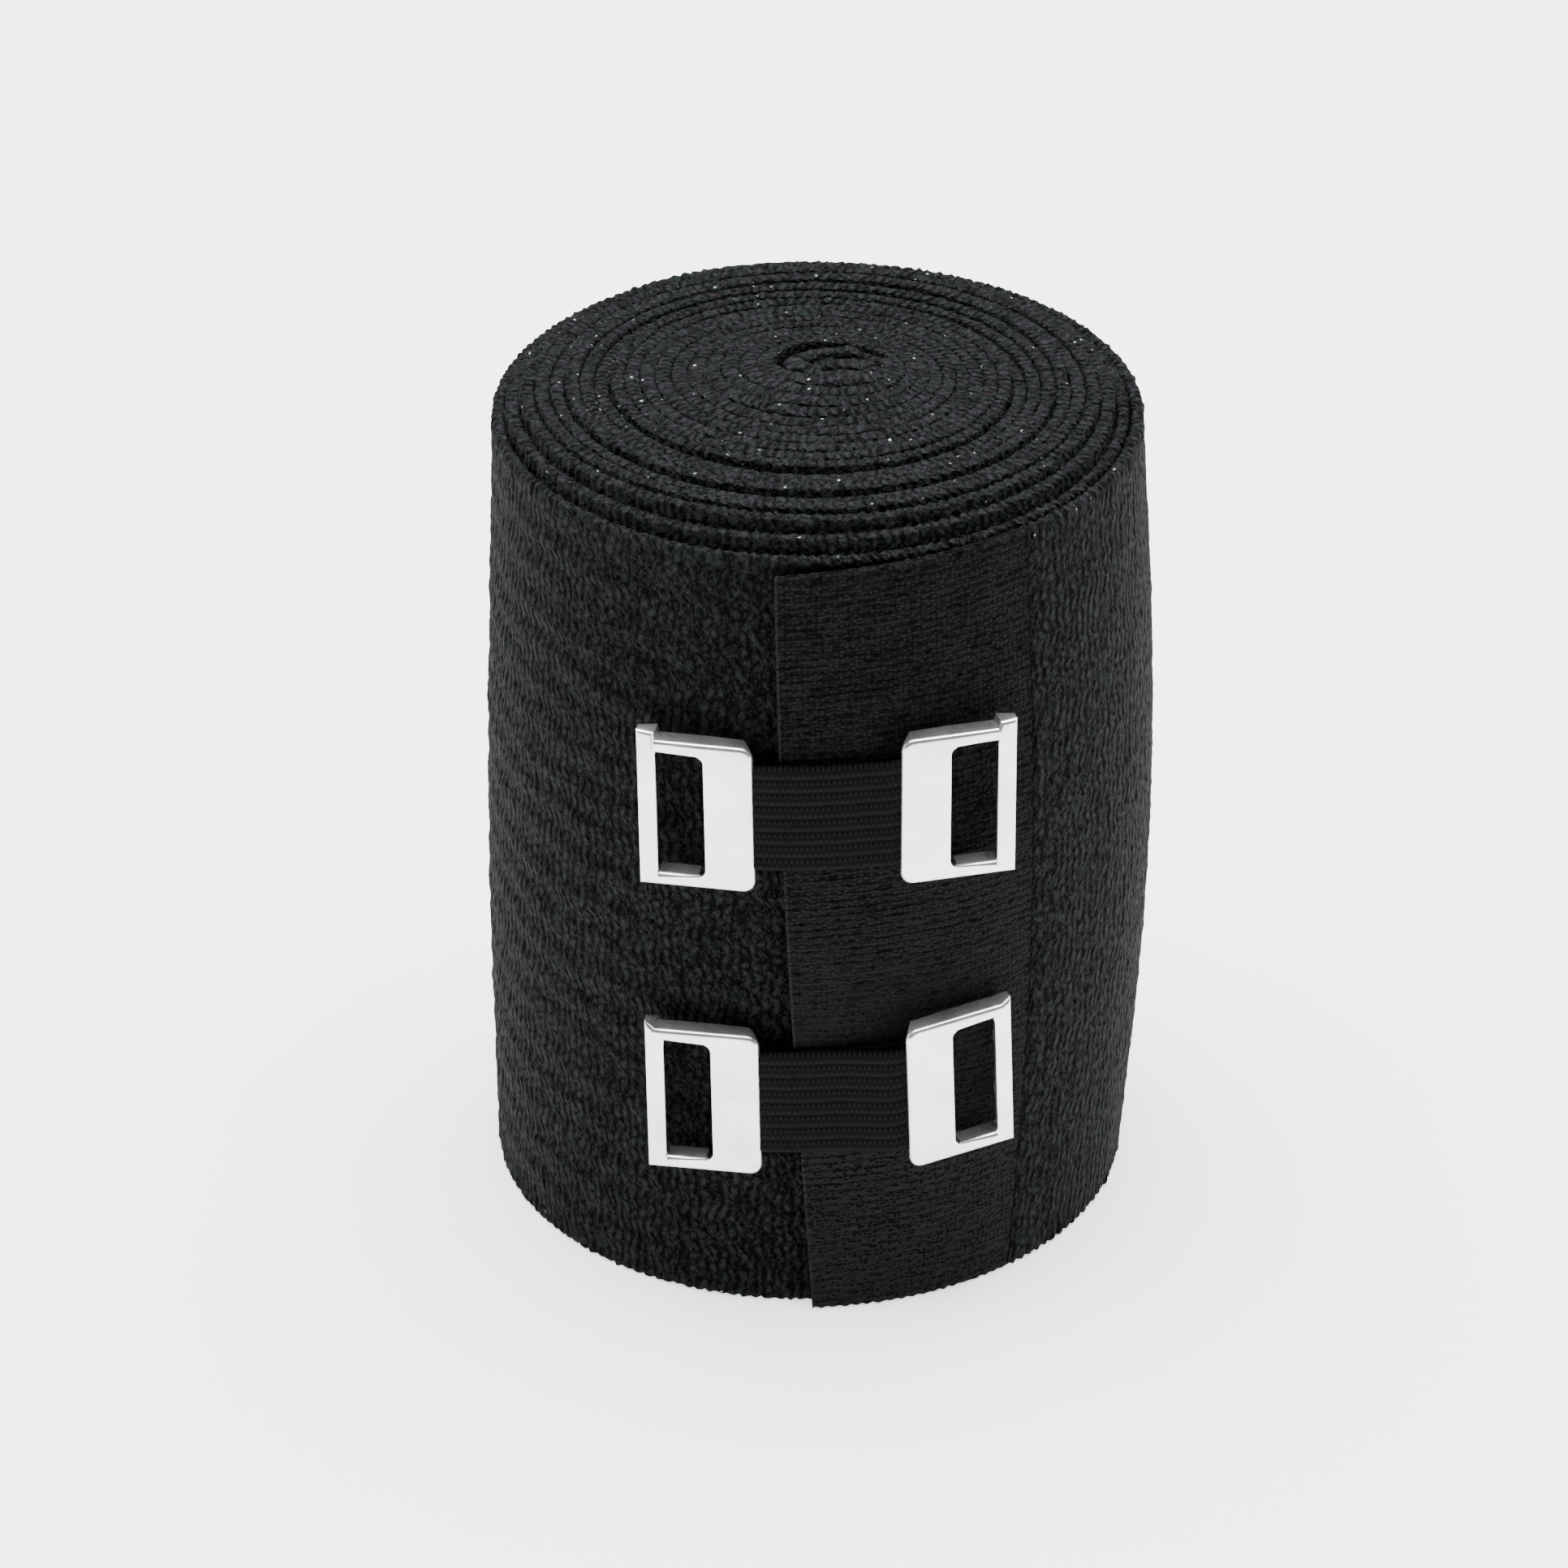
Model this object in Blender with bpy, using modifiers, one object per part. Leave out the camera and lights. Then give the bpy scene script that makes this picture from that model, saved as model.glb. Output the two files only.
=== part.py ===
"""Hand wrap: a strip of elastic crepe, rolled up and standing on end. The last stretch of the strip,
the tail, lies on the roll, and two elastic clips hold its end band to the turn underneath.

Angles are in degrees round the roll's axis. They start at the front (-Y) and grow towards the right
(+X), and the strip winds inward as its angle grows. The origin is the middle of the footprint.
"""

import math

import bmesh
import bpy
from mathutils import Matrix, Vector

# The strip of crepe.
STRIP_WIDTH = 0.075
CLOTH = 0.00103  # thickness of the crepe
TURN_GAP = 0.0003  # air between one turn and the next
ROLL_RADIUS = 0.0286  # outer face of the wound part, where the tail's end lies on it
CORE_RADIUS = 0.0045  # the innermost turn goes no nearer to the axis than this
CORE_FLATTENING = 0.12  # how much flatter than round the innermost turn is
CORE_SPREAD = 0.003  # how soon the turns outside it become round
FOLD_BEND = 0.00125  # bends of the strip's start, which is folded into three layers in the core
FOLD_REACH = 0.0022  # from the core's middle to the start of each bend
DOME_HEIGHT = 0.0035  # how far the inner turns stand up out of the outer ones
DOME_REACH = 0.0022  # how far in from the outer ones they have risen two thirds of it
DOME_BEND = 1.6  # how gently that rise begins: 1 is a step at once
DOME_TILT = 0.4  # share by which they stand up less at the back than in front
CHORD_SAG = 0.00005  # how far a facet of the roll may cut inside its curve

# The tail's end.
END_ANGLE = -7.0  # the cut end, at the top edge
END_SLANT = 7.85  # how much further round the cut end is at the bottom edge
END_TOP_DROP = 0.0013  # how far the band's top edge dips at the cut end
SEAM_ANGLE = 38.2  # the seam between the end band and the tail
PEEL_ANGLE = 80.0  # where the tail leaves the wound part
SEAM_THREAD = 0.0006  # diameter of the line of stitches
FIT_GAP = 0.0003  # between neighbouring pieces

# The clips: two stamped plates and a strap each.
PLATE_LENGTH = 0.0103  # along the strap
PLATE_HEIGHT = 0.0144
SHEET = 0.0004
SOLID_LENGTH = 0.0045  # from the strap's side to the window
OUTER_BAR = 0.0018  # from the window to the outer side
WINDOW_HEIGHT = 0.012
FLANGE_DEPTH = 0.0018  # the turned-in top and bottom edges
FLANGE_SETBACK = 0.0008  # from the outer corner to the flange's end
CORNER_RADIUS = 0.001  # on the strap's side
TOOTH_WIDTH = 0.0011
TOOTH_TIP = 0.0004
TOOTH_RAKE = 0.0005  # how far the tips lean towards the strap
INNER_TOOTH_HEIGHT = 0.0026  # middle of an inner tooth, above and below the plate's middle
STRAP = 0.0008  # thickness of the elastic
STRAP_WIDTH = 0.0104
STRAP_GRIP = 0.0033  # how far the strap reaches under a plate
CLAMP_GAP = 0.0001  # between the strap and the metal that clamps it
STAND_OFF = 0.0026  # from the cloth to a plate's outer face, at its middle
# Name, and the place of the left and of the right plate: where its middle is round the roll and up
# it, which way the strap's pull makes it face, and how far it is turned on the cloth.
CLIPS = (
    ("upper", (-19.8, 0.0501, -12.5, 0.7), (22.4, 0.0513, 14.4, -0.2)),
    ("lower", (-19.1, 0.0209, -11.0, 0.8), (23.1, 0.0226, 25.8, 1.9)),
)

PITCH = CLOTH + TURN_GAP
PLATE_CORE = SHEET + CLAMP_GAP + STRAP / 2  # from a plate's outer face to the strap's middle
TAB_DEPTH = 2 * (SHEET + CLAMP_GAP) + STRAP  # from a plate's outer face to its tab's
TAB_LENGTH = STRAP_GRIP
HINGE_INSET = 0.35 * CLOTH  # from a strap's end to the axis it swings on


def outer_radius(angle):
    """The strip's outer face: a pitch nearer to the axis for each turn."""
    return ROLL_RADIUS + PITCH * (1 - (angle - END_ANGLE) / 360)


def rise(angle):
    """How far the strip's bottom edge stands above the ground: the inner turns are pushed up."""
    depth = max(0.0, ROLL_RADIUS - outer_radius(angle))
    backness = (1 - math.cos(math.radians(angle))) / 2
    share = 1 - math.exp(-((depth / DOME_REACH) ** DOME_BEND))
    return DOME_HEIGHT * share * (1 - DOME_TILT * backness)


def outward(angle):
    turn = math.radians(angle)
    return Vector((math.sin(turn), -math.cos(turn), 0))


def along(angle):
    turn = math.radians(angle)
    return Vector((math.cos(turn), math.sin(turn), 0))


def on_strip(angle, height):
    """A point of the strip's middle surface. Near the core the turns are flattened front to back."""
    radius = outer_radius(angle) - CLOTH / 2
    flat = 1 - CORE_FLATTENING * math.exp(-max(0.0, radius - CORE_RADIUS) / CORE_SPREAD)
    spot = outward(angle) * radius
    return Vector((spot.x, spot.y * flat, rise(angle) + height))


def degrees_of(length, angle):
    """The angle that a length along the strip's outer face takes up."""
    return math.degrees(length / outer_radius(angle))


def material(name, colour, roughness, metallic=0.0):
    made = bpy.data.materials.new(name)
    made.use_nodes = True
    shader = made.node_tree.nodes["Principled BSDF"]
    shader.inputs["Base Color"].default_value = (*colour, 1)
    shader.inputs["Roughness"].default_value = roughness
    shader.inputs["Metallic"].default_value = metallic
    return made


def add_object(name, mesh_data, finish, pivot=Vector()):
    """Put a mesh in the model, with its origin on the axis that the piece turns about."""
    made = bpy.data.objects.new(name, mesh_data)
    mesh_data.transform(Matrix.Translation(-pivot))
    mesh_data.materials.append(finish)
    made.location = pivot
    made.parent = roll_axis
    model.objects.link(made)
    return made


def thicken(piece, thickness, offset):
    """Give an open surface its thickness. An offset of 0 keeps the surface in the middle."""
    wall = piece.modifiers.new("thickness", "SOLIDIFY")
    wall.thickness = thickness
    wall.offset = offset
    wall.use_even_offset = True


def mesh_of(shape, name):
    made = bpy.data.meshes.new(name)
    shape.to_mesh(made)
    shape.free()
    return made


def arc(centre, radius, start, stop, steps):
    """Points on a level arc, without its first one. Its angles start at +X."""
    turns = [math.radians(start + (stop - start) * (i + 1) / steps) for i in range(steps)]
    return [centre + radius * Vector((math.cos(t), math.sin(t), 0)) for t in turns]


def wound_path():
    """The strip's middle line from where the tail leaves it to its start, folded up in the core."""
    room = ROLL_RADIUS - CLOTH / 2 - CORE_RADIUS
    last = END_ANGLE + 360 * (1 + room / PITCH)
    core_angle = 90 + 360 * math.floor((last - 90) / 360)
    angle = PEEL_ANGLE + degrees_of(FIT_GAP / 2, PEEL_ANGLE)
    points = []
    while True:
        step = 2 * math.degrees(math.acos(1 - CHORD_SAG / outer_radius(angle)))
        if angle > core_angle - step / 2:
            break
        points.append(on_strip(angle, 0))
        angle += step
    edge = on_strip(core_angle, 0)
    back = 2 * FOLD_BEND
    core = arc(edge - Vector((back, 0, 0)), back, 0, 90, 6)
    core += arc(Vector((-FOLD_REACH, FOLD_BEND, edge.z)), FOLD_BEND, 90, 270, 8)
    core += arc(Vector((FOLD_REACH, -FOLD_BEND, edge.z)), FOLD_BEND, 90, -90, 8)
    core.append(Vector((-FOLD_REACH, -back, edge.z)))
    return points + [edge] + core


def make_wound_roll():
    shape = bmesh.new()
    corners = [shape.verts.new(point) for point in wound_path()]
    edges = [shape.edges.new(pair) for pair in zip(corners, corners[1:])]
    grown = bmesh.ops.extrude_edge_only(shape, edges=edges)["geom"]
    tops = [part for part in grown if isinstance(part, bmesh.types.BMVert)]
    bmesh.ops.translate(shape, verts=tops, vec=(0, 0, STRIP_WIDTH))
    piece = add_object("wound_roll", mesh_of(shape, "wound_roll"), crepe)
    thicken(piece, CLOTH, 0)


def make_cloth_panel(name, finish, columns, rows, spot, pivot):
    """A stretch of the strip: a grid laid on the roll. spot(s, v) gives the place of a share s of the
    way along and a share v of the way up."""
    shape = bmesh.new()
    bmesh.ops.create_grid(shape, x_segments=columns, y_segments=rows, size=0.5)
    for vert in shape.verts:
        vert.co = spot(vert.co.x + 0.5, vert.co.y + 0.5)
    piece = add_object(name, mesh_of(shape, name), finish, pivot)
    thicken(piece, CLOTH, 0)


def make_tail():
    """The crepe between the end band's seam and the wound part."""
    start = SEAM_ANGLE + degrees_of(SEAM_THREAD / 2 + FIT_GAP, SEAM_ANGLE)
    stop = PEEL_ANGLE - degrees_of(FIT_GAP / 2, PEEL_ANGLE)

    def spot(s, v):
        return on_strip(start + s * (stop - start), v * STRIP_WIDTH)

    make_cloth_panel("tail", crepe, 10, 1, spot, peel_pivot)


def make_end_band():
    """The finished end of the strip: its cut edge slants and its top edge dips."""
    stop = SEAM_ANGLE - degrees_of(SEAM_THREAD / 2 + FIT_GAP, SEAM_ANGLE)

    def spot(s, v):
        start = END_ANGLE + END_SLANT * (1 - v) ** 2
        top = STRIP_WIDTH - END_TOP_DROP * (1 - s) ** 2
        return on_strip(start + s * (stop - start), v * top)

    make_cloth_panel("end_band", band_knit, 12, 8, spot, seam_pivot)


def make_seam_thread():
    """The line of stitches that joins the end band to the tail, between the two."""
    middle = outward(SEAM_ANGLE) * (outer_radius(SEAM_ANGLE) - SEAM_THREAD / 2)
    length = STRIP_WIDTH - 2 * FIT_GAP
    shape = bmesh.new()
    bmesh.ops.create_cone(
        shape,
        cap_ends=True,
        segments=8,
        radius1=SEAM_THREAD / 2,
        radius2=SEAM_THREAD / 2,
        depth=length,
        matrix=Matrix.Translation(middle + Vector((0, 0, STRIP_WIDTH / 2))),
    )
    add_object("seam_thread", mesh_of(shape, "seam_thread"), thread, seam_pivot)


def plate_shape(tooth_length):
    """A plate seen from outside: x from the strap's side to the outer side, y up, z outward.
    The sheet's outer face lies at z = 0, and everything bends in from it."""
    half = PLATE_HEIGHT / 2
    window = WINDOW_HEIGHT / 2
    low_tooth = INNER_TOOTH_HEIGHT - TOOTH_WIDTH / 2
    columns = (
        0,
        1.2 * CORNER_RADIUS,
        SOLID_LENGTH - SHEET - CLAMP_GAP,
        SOLID_LENGTH,
        PLATE_LENGTH - OUTER_BAR,
        PLATE_LENGTH - FLANGE_SETBACK,
        PLATE_LENGTH,
    )
    upper_rows = (low_tooth, low_tooth + TOOTH_WIDTH, window, half - TOOTH_WIDTH, half)
    rows = [-row for row in reversed(upper_rows)] + list(upper_rows)
    shape = bmesh.new()
    across = len(columns) - 1
    up = len(rows) - 1
    bmesh.ops.create_grid(shape, x_segments=across, y_segments=up, size=0.5)
    for vert in shape.verts:
        column = columns[round((vert.co.x + 0.5) * across)]
        row = rows[round((vert.co.y + 0.5) * up)]
        vert.co = (column, row, 0)

    def middle(part):
        return sum((vert.co for vert in part.verts), Vector()) / len(part.verts)

    hole = [
        face
        for face in shape.faces
        if columns[3] < middle(face).x < columns[4] and abs(middle(face).y) < window
    ]
    bmesh.ops.delete(shape, geom=hole, context="FACES")
    corners = [vert for vert in shape.verts if vert.co.x == 0 and abs(vert.co.y) > half - 1e-6]
    bmesh.ops.bevel(
        shape,
        geom=corners,
        affect="VERTICES",
        offset=CORNER_RADIUS,
        segments=4,
        profile=0.5,
        material=-1,
    )

    def rim_edges(chosen):
        return [edge for edge in shape.edges if edge.is_boundary and chosen(middle(edge))]

    def bend_in(edges, move):
        grown = bmesh.ops.extrude_edge_only(shape, edges=edges)["geom"]
        verts = [part for part in grown if isinstance(part, bmesh.types.BMVert)]
        bmesh.ops.translate(shape, verts=verts, vec=move)
        return grown, verts

    flanged = rim_edges(lambda at: abs(at.y) > half - 1e-6 and columns[1] < at.x < columns[5])
    bend_in(flanged, (0, 0, -FLANGE_DEPTH))

    folded = rim_edges(lambda at: abs(at.x - columns[3]) < 1e-6 and abs(at.y) < window)
    grown, _ = bend_in(folded, (0, 0, -TAB_DEPTH))
    tab_edges = [part for part in grown if isinstance(part, bmesh.types.BMEdge) and part.is_boundary]
    tab_edges = [edge for edge in tab_edges if abs(middle(edge).z + TAB_DEPTH) < 1e-6]
    bend_in(tab_edges, (-TAB_LENGTH, 0, 0))

    for level in (half - TOOTH_WIDTH / 2, INNER_TOOTH_HEIGHT):
        for side in (-1, 1):
            root = rim_edges(
                lambda at: abs(at.x - PLATE_LENGTH) < 1e-6 and abs(at.y - side * level) < 1e-6
            )
            _, tips = bend_in(root, (-TOOTH_RAKE, 0, -tooth_length))
            for vert in tips:
                vert.co.y = side * level + (vert.co.y - side * level) * TOOTH_TIP / TOOTH_WIDTH
    return shape


def plate_frame(angle, height, facing, side):
    """The place of a plate: its strap edge's middle, on its outer face. side is +1 for a plate that
    reaches away from the strap towards growing angles, and -1 for the other, which is turned half
    round on the cloth."""
    out = outward(facing)
    reach = along(facing) * side
    middle = outward(angle) * (outer_radius(rest_angle(angle)) + STAND_OFF)
    start = middle - reach * PLATE_LENGTH / 2
    start.z = height
    up = out.cross(reach)
    turned = Matrix((reach, up, out)).transposed().to_4x4()
    return Matrix.Translation(start) @ turned


def reach_to_cloth(frame, facing):
    """From a plate's outer face to just clear of the cloth, at its outer side."""
    tip = frame @ Vector((PLATE_LENGTH, 0, 0))
    angle = math.degrees(math.atan2(tip.x, -tip.y))
    cloth = outer_radius(rest_angle(angle)) + FIT_GAP
    return tip.dot(outward(facing)) - math.sqrt(cloth**2 - tip.dot(along(facing)) ** 2)


def rest_angle(angle):
    """A plate rests on the end band, or beyond the band's cut end on the turn underneath."""
    return angle if angle > END_ANGLE else angle + 360


def strap_end_shape():
    """The end of the strap, clamped between a plate and its tab."""
    shape = bmesh.new()
    bmesh.ops.create_cube(shape, size=1)
    bmesh.ops.scale(shape, verts=shape.verts, vec=(STRAP_GRIP, STRAP_WIDTH, STRAP))
    bmesh.ops.translate(shape, verts=shape.verts, vec=(STRAP_GRIP / 2, 0, -PLATE_CORE))
    return shape


def make_strap(name, left_frame, right_frame, pivot):
    """The strap between the plates: straight where it can be, and lifted over the end band."""
    inset = Vector((-HINGE_INSET, 0, -PLATE_CORE))
    left = left_frame @ inset
    right = right_frame @ inset
    clear = outer_radius(END_ANGLE) + FIT_GAP + STRAP / 2
    steps = 8
    shape = bmesh.new()
    corners = []
    for i in range(steps + 1):
        spot = left.lerp(right, i / steps)
        flat = Vector((spot.x, spot.y, 0))
        if 0 < i < steps and flat.length < clear:
            flat = flat.normalized() * clear
        flat.z = spot.z - STRAP_WIDTH / 2
        corners.append(shape.verts.new(flat))
    edges = [shape.edges.new(pair) for pair in zip(corners, corners[1:])]
    grown = bmesh.ops.extrude_edge_only(shape, edges=edges)["geom"]
    tops = [part for part in grown if isinstance(part, bmesh.types.BMVert)]
    bmesh.ops.translate(shape, verts=tops, vec=(0, 0, STRAP_WIDTH))
    piece = add_object(name, mesh_of(shape, name), elastic, pivot)
    thicken(piece, STRAP, 0)


def make_clip(name, left, right):
    frames = {}
    for where, place, side in (("left", left, -1), ("right", right, 1)):
        angle, height, facing, turn = place
        frame = plate_frame(angle, height, facing, side)
        frames[where] = frame
        pivot = frame.translation.copy()
        middle = Matrix.Translation((PLATE_LENGTH / 2, 0, 0))
        swivel = middle @ Matrix.Rotation(math.radians(turn), 4, "Z") @ middle.inverted()

        shape = plate_shape(reach_to_cloth(frame, facing))
        shape.transform(frame @ swivel)
        node = f"{name}_{where}_plate"
        piece = add_object(node, mesh_of(shape, node), aluminium, pivot)
        thicken(piece, SHEET, -1)

        shape = strap_end_shape()
        shape.transform(frame)
        node = f"{name}_strap_{where}_end"
        add_object(node, mesh_of(shape, node), elastic, pivot)

    pivot = frames["right"] @ Vector((-HINGE_INSET, 0, 0))
    make_strap(f"{name}_strap", frames["left"], frames["right"], pivot)


for old in list(bpy.data.objects):
    bpy.data.objects.remove(old)

model = bpy.data.collections.new("hand_wrap")
bpy.context.scene.collection.children.link(model)

crepe = material("black elastic crepe", (0.012, 0.012, 0.013), 0.9)
band_knit = material("black dense knit", (0.014, 0.014, 0.015), 0.85)
thread = material("black sewing thread", (0.02, 0.02, 0.02), 0.7)
elastic = material("black elastic braid", (0.011, 0.011, 0.012), 0.75)
aluminium = material("bright aluminium sheet", (0.82, 0.82, 0.82), 0.28, 1.0)

# The roll's axis stands where the middle of the whole footprint comes to the origin.
front_plate = plate_frame(*CLIPS[1][2][:3], 1).translation
roll_axis = bpy.data.objects.new("roll_axis", None)
roll_axis.location = (
    (outer_radius(270) - outer_radius(90)) / 2,
    (-front_plate.y - outer_radius(180)) / 2,
    0,
)
model.objects.link(roll_axis)

peel_pivot = outward(PEEL_ANGLE) * outer_radius(PEEL_ANGLE)
seam_pivot = outward(SEAM_ANGLE) * outer_radius(SEAM_ANGLE)

make_wound_roll()
make_tail()
make_end_band()
make_seam_thread()
for clip in CLIPS:
    make_clip(*clip)
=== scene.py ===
import math

import bmesh
import bpy
from mathutils import Matrix, Vector, noise


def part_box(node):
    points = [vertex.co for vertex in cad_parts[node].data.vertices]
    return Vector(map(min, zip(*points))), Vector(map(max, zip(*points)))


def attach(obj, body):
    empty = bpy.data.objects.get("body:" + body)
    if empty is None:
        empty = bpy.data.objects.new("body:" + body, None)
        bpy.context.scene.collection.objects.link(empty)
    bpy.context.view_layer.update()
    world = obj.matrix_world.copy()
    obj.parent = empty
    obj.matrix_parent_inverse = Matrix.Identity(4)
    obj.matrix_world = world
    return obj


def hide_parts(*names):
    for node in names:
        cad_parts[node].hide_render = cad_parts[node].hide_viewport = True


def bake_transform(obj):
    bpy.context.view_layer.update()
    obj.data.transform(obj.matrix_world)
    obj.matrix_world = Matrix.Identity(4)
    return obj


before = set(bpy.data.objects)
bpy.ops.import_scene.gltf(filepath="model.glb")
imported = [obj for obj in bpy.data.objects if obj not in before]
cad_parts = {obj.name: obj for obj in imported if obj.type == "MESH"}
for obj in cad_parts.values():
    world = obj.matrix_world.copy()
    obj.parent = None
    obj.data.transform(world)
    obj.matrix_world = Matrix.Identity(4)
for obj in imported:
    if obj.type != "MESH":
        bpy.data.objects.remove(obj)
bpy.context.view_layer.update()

# The spiral. The wrap is one long strip of black elastic crepe, wound up tight and stood on end.
# Each turn lies inside the one before it, and the inner turns are pushed up out of the outer ones.
MM = 0.001
ROLL_AXIS = Vector((-0.33, 1.41, 0)) * MM
STRIP_WIDTH = (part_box("tail")[1].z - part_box("tail")[0].z) / MM
CLOTH = 1.03
PITCH = 1.33
ROLL_RADIUS = 28.6
END_ANGLE = -7.0
DOME_HEIGHT = 3.5
DOME_REACH = 2.2
DOME_BEND = 1.6
CORE_ANGLE = 6570.0


def outer_radius(angle):
    return ROLL_RADIUS + PITCH * (1 - (angle - END_ANGLE) / 360)


def along_at(angle):
    """Millimetres of strip from its cut end to an angle."""
    turn = math.radians(angle - END_ANGLE)
    start = outer_radius(END_ANGLE) - CLOTH / 2
    return start * turn - PITCH / (4 * math.pi) * turn**2


def angle_at(along):
    start = outer_radius(END_ANGLE) - CLOTH / 2
    shrink = PITCH / (2 * math.pi)
    return END_ANGLE + math.degrees((start - math.sqrt(start**2 - 2 * shrink * along)) / shrink)


STEPPED_GROUPS = ((18.4, 22.9), (22.9, 26.5))
STEP = 0.8


def step_down(radius):
    """The inner turns stand in groups: each group's outermost turn is the highest, and the turn
    just outside it starts the next group a little lower."""
    for inner, outer in STEPPED_GROUPS:
        if inner < radius <= outer:
            return STEP * (outer - radius) / (outer - inner)
    return 0.0


def rise(angle):
    radius = outer_radius(angle)
    if radius >= ROLL_RADIUS:
        return 0.0
    backness = (1 - math.cos(math.radians(angle + 20))) / 2
    depth = (ROLL_RADIUS - radius) / DOME_REACH
    lift = DOME_HEIGHT * (1 - math.exp(-(depth**DOME_BEND))) * (1 - 0.42 * backness)
    turn = math.radians(angle)
    sway = noise.noise(Vector((math.sin(turn), math.cos(turn), radius)))
    return lift - step_down(radius) + 0.22 * sway * min(1.0, ROLL_RADIUS - radius)


def outward(angle):
    turn = math.radians(angle)
    return Vector((math.sin(turn), -math.cos(turn), 0))


def on_spiral(angle):
    """A point of the strip's middle line. The innermost turns are a little flat front to back."""
    radius = outer_radius(angle) - CLOTH / 2
    flat = 1 - 0.12 * math.exp(-max(0.0, radius - 4.5) / 3)
    spot = outward(angle) * radius
    return Vector((spot.x, spot.y * flat, rise(angle)))


CORE_PULL = Vector((2.1, 2.6, 1.1))
CORE_PULL_REACH = 9.0


def settled(place):
    """The roll leans a little, is fuller round its middle and stands out in front at its foot. Its
    core has been pulled aside and up."""
    depth = min(1.0, max(0.0, 1 - place.z / STRIP_WIDTH))
    waist = 1 + (1.25 * math.sin(math.pi * depth**1.1) - 0.45) / ROLL_RADIUS
    lean = 1.3 * depth * (1 - depth) - 1.05 * depth**2
    foot = max(0.0, (depth - 0.7) / 0.3) ** 2
    pull = math.exp(-((place.xy.length / CORE_PULL_REACH) ** 2))
    stood = Vector((place.x * waist + lean, place.y * (1 + 0.018 * foot) - 0.8 * foot, place.z))
    return stood + CORE_PULL * pull


PUCKER_ANGLE = 292
PUCKER_PITCH = 3.7


def crepe_relief(along, up):
    """How far the crepe stands out at a place: uneven ribs across the strip, with lumps on them."""
    sway = noise.noise(Vector((along / 9, up / 6, 3)))
    rib = math.sin(2 * math.pi * (along + 1.2 * sway) / 1.84)
    strength = 0.5 + 0.5 * noise.noise(Vector((along / 16, up / 22, 9)))
    lump = noise.noise(Vector((along / 0.75, up / 0.85, 0)))
    swell = noise.noise(Vector((along / 4, up / 5, 7)))
    turn = math.radians(angle_at(along) - PUCKER_ANGLE)
    slanted = up + 0.1 * along + 0.8 * sway
    pucker = max(0.0, math.cos(turn)) ** 2 * math.sin(2 * math.pi * slanted / PUCKER_PITCH)
    return 0.05 * rib * strength + 0.11 * lump + 0.1 * swell + 0.1 * pucker


MIDDLE_TURNS = 17.07
STANDING_TURNS = ((MIDDLE_TURNS, 18.4), (21.57, 22.9), (25.17, 26.5), (27.1, 40.0))


def rim_strength(radius):
    """Only the turns that stand above the next one out show the stitches of their edge well."""
    for inner, outer in STANDING_TURNS:
        if inner < radius <= outer:
            return 1.0
    return 0.3


def edge_rope(along, lean):
    """The overcast edge of the strip: slanting stitches about a millimetre apart."""
    wander = 0.35 * noise.noise(Vector((along / 3, 0, 5)))
    size = 0.7 + 0.5 * noise.noise(Vector((along / 1.7, 0, 8)))
    rope = 0.17 * size * math.cos(2 * math.pi * ((along + wander) / 1.05 + 0.3 * lean))
    lump = noise.noise(Vector((along / 0.7, lean / 0.7, 12)))
    return rope * rim_strength(outer_radius(angle_at(along))) + 0.16 * lump


def strip_profile(width, face_rows, back_rows, round_off=0.5):
    """Once round the strip's section, from the inner face's bottom over the top edge and back under
    the bottom one. Each row is (out, up, way out, way up, edge, skin): out is -1 on the inner face
    and 1 on the outer one, edge is 1 on the stitched edges and 0 on the faces, and skin goes up the
    outer face and on over the edge."""
    turned = 7
    rows = []
    for i in range(back_rows):
        height = 2 + (width - 4) * i / (back_rows - 1)
        rows.append((-1, height, -1, 0, 0, height))
    for i in range(turned + 1):
        lean = math.pi * (1 - i / turned)
        out, up = math.cos(lean), math.sin(lean)
        rows.append((out, width - round_off * (1 - up), out, up, 1, width - round_off + lean / 2))
    for i in range(face_rows):
        height = width - round_off - (width - 2 * round_off) * (i + 1) / (face_rows + 1)
        reach = min(height, width - height)
        rows.append((1, height, 1, 0, max(0.0, 1 - (reach - round_off) / 1.2), height))
    for i in range(turned + 1):
        lean = math.pi * i / turned
        out, up = math.cos(lean), -math.sin(lean)
        rows.append((out, round_off * (1 + up), out, up, 1, round_off - lean / 2))
    return rows


def shown(shape, name):
    """Makes the finished shape a smooth object of the scene."""
    made = bpy.data.meshes.new(name)
    shape.to_mesh(made)
    shape.free()
    piece = bpy.data.objects.new(name, made)
    bpy.context.collection.objects.link(piece)
    for face in made.polygons:
        face.use_smooth = True
    return piece


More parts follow.
